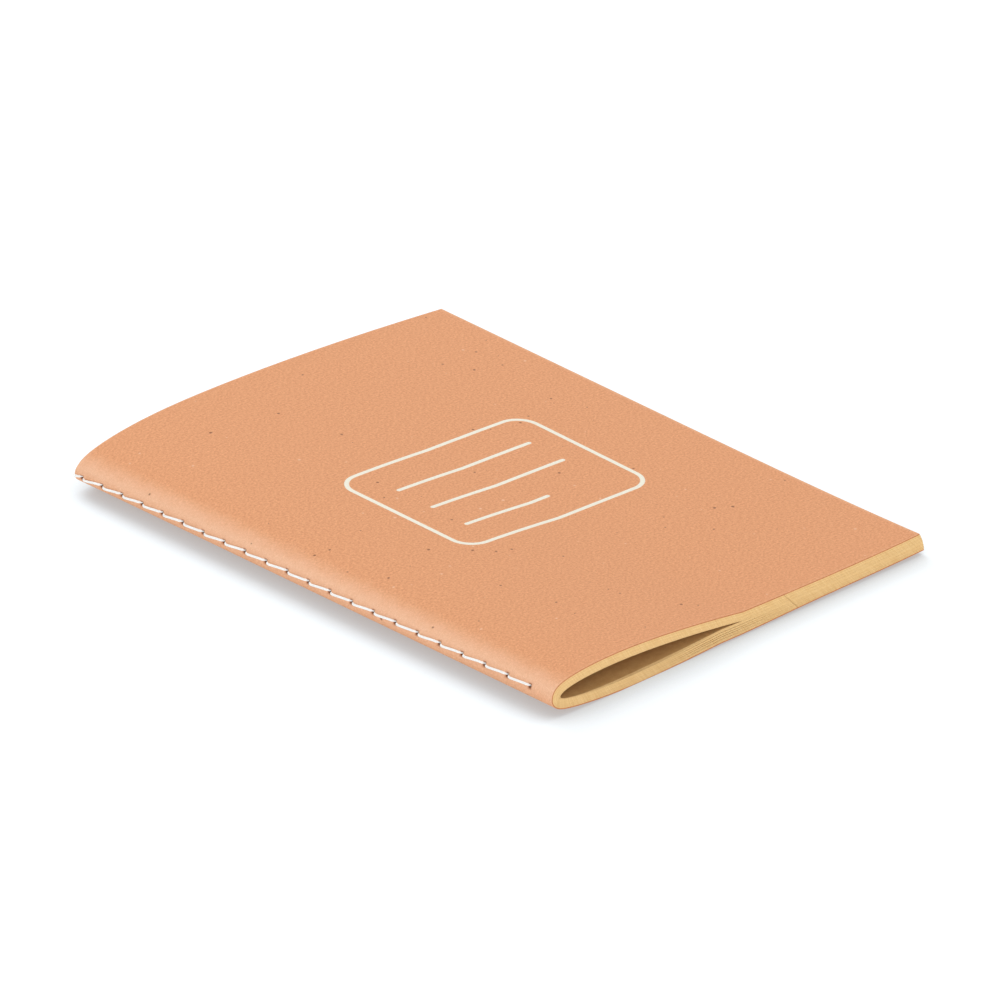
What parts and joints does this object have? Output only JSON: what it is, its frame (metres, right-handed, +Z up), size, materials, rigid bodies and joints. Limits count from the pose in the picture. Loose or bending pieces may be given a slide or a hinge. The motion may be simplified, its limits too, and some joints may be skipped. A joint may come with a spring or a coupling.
{
  "type": "pocket notebook",
  "caption": "Slim pocket notebook: folded kraft pages in a kraft card cover, machine-sewn along the spine with white thread; the cover and every leaf turn about the fold.",
  "frame": {"origin": "centre of the bounding box in X and Y, on the table plane under the closed notebook", "axes": "+Z up, +Y along the spine towards the head of the page, spine at -X and fore-edge at +X"},
  "size_m": [0.1054, 0.148, 0.0107],
  "materials": {
    "cover": "matte kraft card",
    "pages": "uncoated kraft paper",
    "thread": "twisted thread"
  },
  "bodies": {
    "back_cover": {"back_cover": "cover"},
    "front_cover": {"front_cover": "cover"},
    "spine": {"cover_spine": "cover", "sheet_folds": "pages", "needle_thread": "thread", "bobbin_thread": "thread"},
    "back_leaf_01": {"back_leaf_01": "pages"},
    "front_leaf_01": {"front_leaf_01": "pages"},
    "back_leaf_02": {"back_leaf_02": "pages"},
    "front_leaf_02": {"front_leaf_02": "pages"},
    "back_leaf_03": {"back_leaf_03": "pages"},
    "front_leaf_03": {"front_leaf_03": "pages"},
    "back_leaf_04": {"back_leaf_04": "pages"},
    "front_leaf_04": {"front_leaf_04": "pages"},
    "back_leaf_05": {"back_leaf_05": "pages"},
    "front_leaf_05": {"front_leaf_05": "pages"},
    "back_leaf_06": {"back_leaf_06": "pages"},
    "front_leaf_06": {"front_leaf_06": "pages"},
    "back_leaf_07": {"back_leaf_07": "pages"},
    "front_leaf_07": {"front_leaf_07": "pages"},
    "back_leaf_08": {"back_leaf_08": "pages"},
    "front_leaf_08": {"front_leaf_08": "pages"},
    "back_leaf_09": {"back_leaf_09": "pages"},
    "front_leaf_09": {"front_leaf_09": "pages"},
    "back_leaf_10": {"back_leaf_10": "pages"},
    "front_leaf_10": {"front_leaf_10": "pages"},
    "back_leaf_11": {"back_leaf_11": "pages"},
    "front_leaf_11": {"front_leaf_11": "pages"},
    "back_leaf_12": {"back_leaf_12": "pages"},
    "front_leaf_12": {"front_leaf_12": "pages"},
    "back_leaf_13": {"back_leaf_13": "pages"},
    "front_leaf_13": {"front_leaf_13": "pages"},
    "back_leaf_14": {"back_leaf_14": "pages"},
    "front_leaf_14": {"front_leaf_14": "pages"},
    "back_leaf_15": {"back_leaf_15": "pages"},
    "front_leaf_15": {"front_leaf_15": "pages"},
    "back_leaf_16": {"back_leaf_16": "pages"},
    "front_leaf_16": {"front_leaf_16": "pages"},
    "back_leaf_17": {"back_leaf_17": "pages"},
    "front_leaf_17": {"front_leaf_17": "pages"},
    "back_leaf_18": {"back_leaf_18": "pages"},
    "front_leaf_18": {"front_leaf_18": "pages"},
    "back_leaf_19": {"back_leaf_19": "pages"},
    "front_leaf_19": {"front_leaf_19": "pages"},
    "back_leaf_20": {"back_leaf_20": "pages"},
    "front_leaf_20": {"front_leaf_20": "pages"}
  },
  "joints": [
    {"name": "front_cover_opening", "type": "hinge", "parent": "back_cover", "child": "front_cover", "pos_m": [-0.04988, 0, 0.00475], "axis": [0, -1, 0], "range_deg": [0, 175]},
    {"name": "spine_turn", "type": "hinge", "parent": "back_cover", "child": "spine", "pos_m": [-0.04988, 0, 0.00475], "axis": [0, -1, 0], "range_deg": [0, 87.5]},
    {"name": "back_leaf_01_turn", "type": "hinge", "parent": "back_cover", "child": "back_leaf_01", "pos_m": [-0.04988, 0, 0.00475], "axis": [0, -1, 0], "range_deg": [0, 1.06]},
    {"name": "front_leaf_01_turn", "type": "hinge", "parent": "back_leaf_01", "child": "front_leaf_01", "pos_m": [-0.04988, 0, 0.00475], "axis": [0, -1, 0], "range_deg": [0, 172.91]},
    {"name": "back_leaf_02_turn", "type": "hinge", "parent": "back_cover", "child": "back_leaf_02", "pos_m": [-0.04988, 0, 0.00475], "axis": [0, -1, 0], "range_deg": [0, 2.11]},
    {"name": "front_leaf_02_turn", "type": "hinge", "parent": "back_leaf_02", "child": "front_leaf_02", "pos_m": [-0.04988, 0, 0.00475], "axis": [0, -1, 0], "range_deg": [0, 170.81]},
    {"name": "back_leaf_03_turn", "type": "hinge", "parent": "back_cover", "child": "back_leaf_03", "pos_m": [-0.04988, 0, 0.00475], "axis": [0, -1, 0], "range_deg": [0, 3.16]},
    {"name": "front_leaf_03_turn", "type": "hinge", "parent": "back_leaf_03", "child": "front_leaf_03", "pos_m": [-0.04988, 0, 0.00475], "axis": [0, -1, 0], "range_deg": [0, 168.71]},
    {"name": "back_leaf_04_turn", "type": "hinge", "parent": "back_cover", "child": "back_leaf_04", "pos_m": [-0.04988, 0, 0.00475], "axis": [0, -1, 0], "range_deg": [0, 4.21]},
    {"name": "front_leaf_04_turn", "type": "hinge", "parent": "back_leaf_04", "child": "front_leaf_04", "pos_m": [-0.04988, 0, 0.00475], "axis": [0, -1, 0], "range_deg": [0, 166.61]},
    {"name": "back_leaf_05_turn", "type": "hinge", "parent": "back_cover", "child": "back_leaf_05", "pos_m": [-0.04988, 0, 0.00475], "axis": [0, -1, 0], "range_deg": [0, 5.26]},
    {"name": "front_leaf_05_turn", "type": "hinge", "parent": "back_leaf_05", "child": "front_leaf_05", "pos_m": [-0.04988, 0, 0.00475], "axis": [0, -1, 0], "range_deg": [0, 164.51]},
    {"name": "back_leaf_06_turn", "type": "hinge", "parent": "back_cover", "child": "back_leaf_06", "pos_m": [-0.04988, 0, 0.00475], "axis": [0, -1, 0], "range_deg": [0, 6.31]},
    {"name": "front_leaf_06_turn", "type": "hinge", "parent": "back_leaf_06", "child": "front_leaf_06", "pos_m": [-0.04988, 0, 0.00475], "axis": [0, -1, 0], "range_deg": [0, 162.41]},
    {"name": "back_leaf_07_turn", "type": "hinge", "parent": "back_cover", "child": "back_leaf_07", "pos_m": [-0.04988, 0, 0.00475], "axis": [0, -1, 0], "range_deg": [0, 7.36]},
    {"name": "front_leaf_07_turn", "type": "hinge", "parent": "back_leaf_07", "child": "front_leaf_07", "pos_m": [-0.04988, 0, 0.00475], "axis": [0, -1, 0], "range_deg": [0, 160.31]},
    {"name": "back_leaf_08_turn", "type": "hinge", "parent": "back_cover", "child": "back_leaf_08", "pos_m": [-0.04988, 0, 0.00475], "axis": [0, -1, 0], "range_deg": [0, 8.41]},
    {"name": "front_leaf_08_turn", "type": "hinge", "parent": "back_leaf_08", "child": "front_leaf_08", "pos_m": [-0.04988, 0, 0.00475], "axis": [0, -1, 0], "range_deg": [0, 158.21]},
    {"name": "back_leaf_09_turn", "type": "hinge", "parent": "back_cover", "child": "back_leaf_09", "pos_m": [-0.04988, 0, 0.00475], "axis": [0, -1, 0], "range_deg": [0, 9.46]},
    {"name": "front_leaf_09_turn", "type": "hinge", "parent": "back_leaf_09", "child": "front_leaf_09", "pos_m": [-0.04988, 0, 0.00475], "axis": [0, -1, 0], "range_deg": [0, 156.11]},
    {"name": "back_leaf_10_turn", "type": "hinge", "parent": "back_cover", "child": "back_leaf_10", "pos_m": [-0.04988, 0, 0.00475], "axis": [0, -1, 0], "range_deg": [0, 10.51]},
    {"name": "front_leaf_10_turn", "type": "hinge", "parent": "back_leaf_10", "child": "front_leaf_10", "pos_m": [-0.04988, 0, 0.00475], "axis": [0, -1, 0], "range_deg": [0, 154.01]},
    {"name": "back_leaf_11_turn", "type": "hinge", "parent": "back_cover", "child": "back_leaf_11", "pos_m": [-0.04988, 0, 0.00475], "axis": [0, -1, 0], "range_deg": [0, 11.56]},
    {"name": "front_leaf_11_turn", "type": "hinge", "parent": "back_leaf_11", "child": "front_leaf_11", "pos_m": [-0.04988, 0, 0.00475], "axis": [0, -1, 0], "range_deg": [0, 151.91]},
    {"name": "back_leaf_12_turn", "type": "hinge", "parent": "back_cover", "child": "back_leaf_12", "pos_m": [-0.04988, 0, 0.00475], "axis": [0, -1, 0], "range_deg": [0, 12.61]},
    {"name": "front_leaf_12_turn", "type": "hinge", "parent": "back_leaf_12", "child": "front_leaf_12", "pos_m": [-0.04988, 0, 0.00475], "axis": [0, -1, 0], "range_deg": [0, 149.81]},
    {"name": "back_leaf_13_turn", "type": "hinge", "parent": "back_cover", "child": "back_leaf_13", "pos_m": [-0.04988, 0, 0.00475], "axis": [0, -1, 0], "range_deg": [0, 13.66]},
    {"name": "front_leaf_13_turn", "type": "hinge", "parent": "back_leaf_13", "child": "front_leaf_13", "pos_m": [-0.04988, 0, 0.00475], "axis": [0, -1, 0], "range_deg": [0, 147.71]},
    {"name": "back_leaf_14_turn", "type": "hinge", "parent": "back_cover", "child": "back_leaf_14", "pos_m": [-0.04988, 0, 0.00475], "axis": [0, -1, 0], "range_deg": [0, 14.71]},
    {"name": "front_leaf_14_turn", "type": "hinge", "parent": "back_leaf_14", "child": "front_leaf_14", "pos_m": [-0.04988, 0, 0.00475], "axis": [0, -1, 0], "range_deg": [0, 145.61]},
    {"name": "back_leaf_15_turn", "type": "hinge", "parent": "back_cover", "child": "back_leaf_15", "pos_m": [-0.04988, 0, 0.00475], "axis": [0, -1, 0], "range_deg": [0, 15.76]},
    {"name": "front_leaf_15_turn", "type": "hinge", "parent": "back_leaf_15", "child": "front_leaf_15", "pos_m": [-0.04988, 0, 0.00475], "axis": [0, -1, 0], "range_deg": [0, 143.51]},
    {"name": "back_leaf_16_turn", "type": "hinge", "parent": "back_cover", "child": "back_leaf_16", "pos_m": [-0.04988, 0, 0.00475], "axis": [0, -1, 0], "range_deg": [0, 16.81]},
    {"name": "front_leaf_16_turn", "type": "hinge", "parent": "back_leaf_16", "child": "front_leaf_16", "pos_m": [-0.04988, 0, 0.00475], "axis": [0, -1, 0], "range_deg": [0, 141.41]},
    {"name": "back_leaf_17_turn", "type": "hinge", "parent": "back_cover", "child": "back_leaf_17", "pos_m": [-0.04988, 0, 0.00475], "axis": [0, -1, 0], "range_deg": [0, 17.86]},
    {"name": "front_leaf_17_turn", "type": "hinge", "parent": "back_leaf_17", "child": "front_leaf_17", "pos_m": [-0.04988, 0, 0.00475], "axis": [0, -1, 0], "range_deg": [0, 139.31]},
    {"name": "back_leaf_18_turn", "type": "hinge", "parent": "back_cover", "child": "back_leaf_18", "pos_m": [-0.04988, 0, 0.00475], "axis": [0, -1, 0], "range_deg": [0, 18.91]},
    {"name": "front_leaf_18_turn", "type": "hinge", "parent": "back_leaf_18", "child": "front_leaf_18", "pos_m": [-0.04988, 0, 0.00475], "axis": [0, -1, 0], "range_deg": [0, 137.21]},
    {"name": "back_leaf_19_turn", "type": "hinge", "parent": "back_cover", "child": "back_leaf_19", "pos_m": [-0.04988, 0, 0.00475], "axis": [0, -1, 0], "range_deg": [0, 19.96]},
    {"name": "front_leaf_19_turn", "type": "hinge", "parent": "back_leaf_19", "child": "front_leaf_19", "pos_m": [-0.04988, 0, 0.00475], "axis": [0, -1, 0], "range_deg": [0, 135.11]},
    {"name": "back_leaf_20_turn", "type": "hinge", "parent": "back_cover", "child": "back_leaf_20", "pos_m": [-0.04988, 0, 0.00475], "axis": [0, -1, 0], "range_deg": [0, 21.01]},
    {"name": "front_leaf_20_turn", "type": "hinge", "parent": "back_leaf_20", "child": "front_leaf_20", "pos_m": [-0.04988, 0, 0.00475], "axis": [0, -1, 0], "range_deg": [0, 133.01]}
  ],
  "couplings": [
    {"joint": "spine_turn", "follows": "front_cover_opening", "ratio": 0.5},
    {"joint": "back_leaf_01_turn", "follows": "front_cover_opening", "ratio": 0.006},
    {"joint": "front_leaf_01_turn", "follows": "front_cover_opening", "ratio": 0.988},
    {"joint": "back_leaf_02_turn", "follows": "front_cover_opening", "ratio": 0.012},
    {"joint": "front_leaf_02_turn", "follows": "front_cover_opening", "ratio": 0.976},
    {"joint": "back_leaf_03_turn", "follows": "front_cover_opening", "ratio": 0.018},
    {"joint": "front_leaf_03_turn", "follows": "front_cover_opening", "ratio": 0.964},
    {"joint": "back_leaf_04_turn", "follows": "front_cover_opening", "ratio": 0.024},
    {"joint": "front_leaf_04_turn", "follows": "front_cover_opening", "ratio": 0.952},
    {"joint": "back_leaf_05_turn", "follows": "front_cover_opening", "ratio": 0.03},
    {"joint": "front_leaf_05_turn", "follows": "front_cover_opening", "ratio": 0.94},
    {"joint": "back_leaf_06_turn", "follows": "front_cover_opening", "ratio": 0.036},
    {"joint": "front_leaf_06_turn", "follows": "front_cover_opening", "ratio": 0.928},
    {"joint": "back_leaf_07_turn", "follows": "front_cover_opening", "ratio": 0.042},
    {"joint": "front_leaf_07_turn", "follows": "front_cover_opening", "ratio": 0.916},
    {"joint": "back_leaf_08_turn", "follows": "front_cover_opening", "ratio": 0.048},
    {"joint": "front_leaf_08_turn", "follows": "front_cover_opening", "ratio": 0.904},
    {"joint": "back_leaf_09_turn", "follows": "front_cover_opening", "ratio": 0.054},
    {"joint": "front_leaf_09_turn", "follows": "front_cover_opening", "ratio": 0.892},
    {"joint": "back_leaf_10_turn", "follows": "front_cover_opening", "ratio": 0.06},
    {"joint": "front_leaf_10_turn", "follows": "front_cover_opening", "ratio": 0.88},
    {"joint": "back_leaf_11_turn", "follows": "front_cover_opening", "ratio": 0.066},
    {"joint": "front_leaf_11_turn", "follows": "front_cover_opening", "ratio": 0.868},
    {"joint": "back_leaf_12_turn", "follows": "front_cover_opening", "ratio": 0.072},
    {"joint": "front_leaf_12_turn", "follows": "front_cover_opening", "ratio": 0.856},
    {"joint": "back_leaf_13_turn", "follows": "front_cover_opening", "ratio": 0.078},
    {"joint": "front_leaf_13_turn", "follows": "front_cover_opening", "ratio": 0.844},
    {"joint": "back_leaf_14_turn", "follows": "front_cover_opening", "ratio": 0.084},
    {"joint": "front_leaf_14_turn", "follows": "front_cover_opening", "ratio": 0.832},
    {"joint": "back_leaf_15_turn", "follows": "front_cover_opening", "ratio": 0.09},
    {"joint": "front_leaf_15_turn", "follows": "front_cover_opening", "ratio": 0.82},
    {"joint": "back_leaf_16_turn", "follows": "front_cover_opening", "ratio": 0.096},
    {"joint": "front_leaf_16_turn", "follows": "front_cover_opening", "ratio": 0.808},
    {"joint": "back_leaf_17_turn", "follows": "front_cover_opening", "ratio": 0.102},
    {"joint": "front_leaf_17_turn", "follows": "front_cover_opening", "ratio": 0.796},
    {"joint": "back_leaf_18_turn", "follows": "front_cover_opening", "ratio": 0.108},
    {"joint": "front_leaf_18_turn", "follows": "front_cover_opening", "ratio": 0.784},
    {"joint": "back_leaf_19_turn", "follows": "front_cover_opening", "ratio": 0.114},
    {"joint": "front_leaf_19_turn", "follows": "front_cover_opening", "ratio": 0.772},
    {"joint": "back_leaf_20_turn", "follows": "front_cover_opening", "ratio": 0.12},
    {"joint": "front_leaf_20_turn", "follows": "front_cover_opening", "ratio": 0.76}
  ]
}
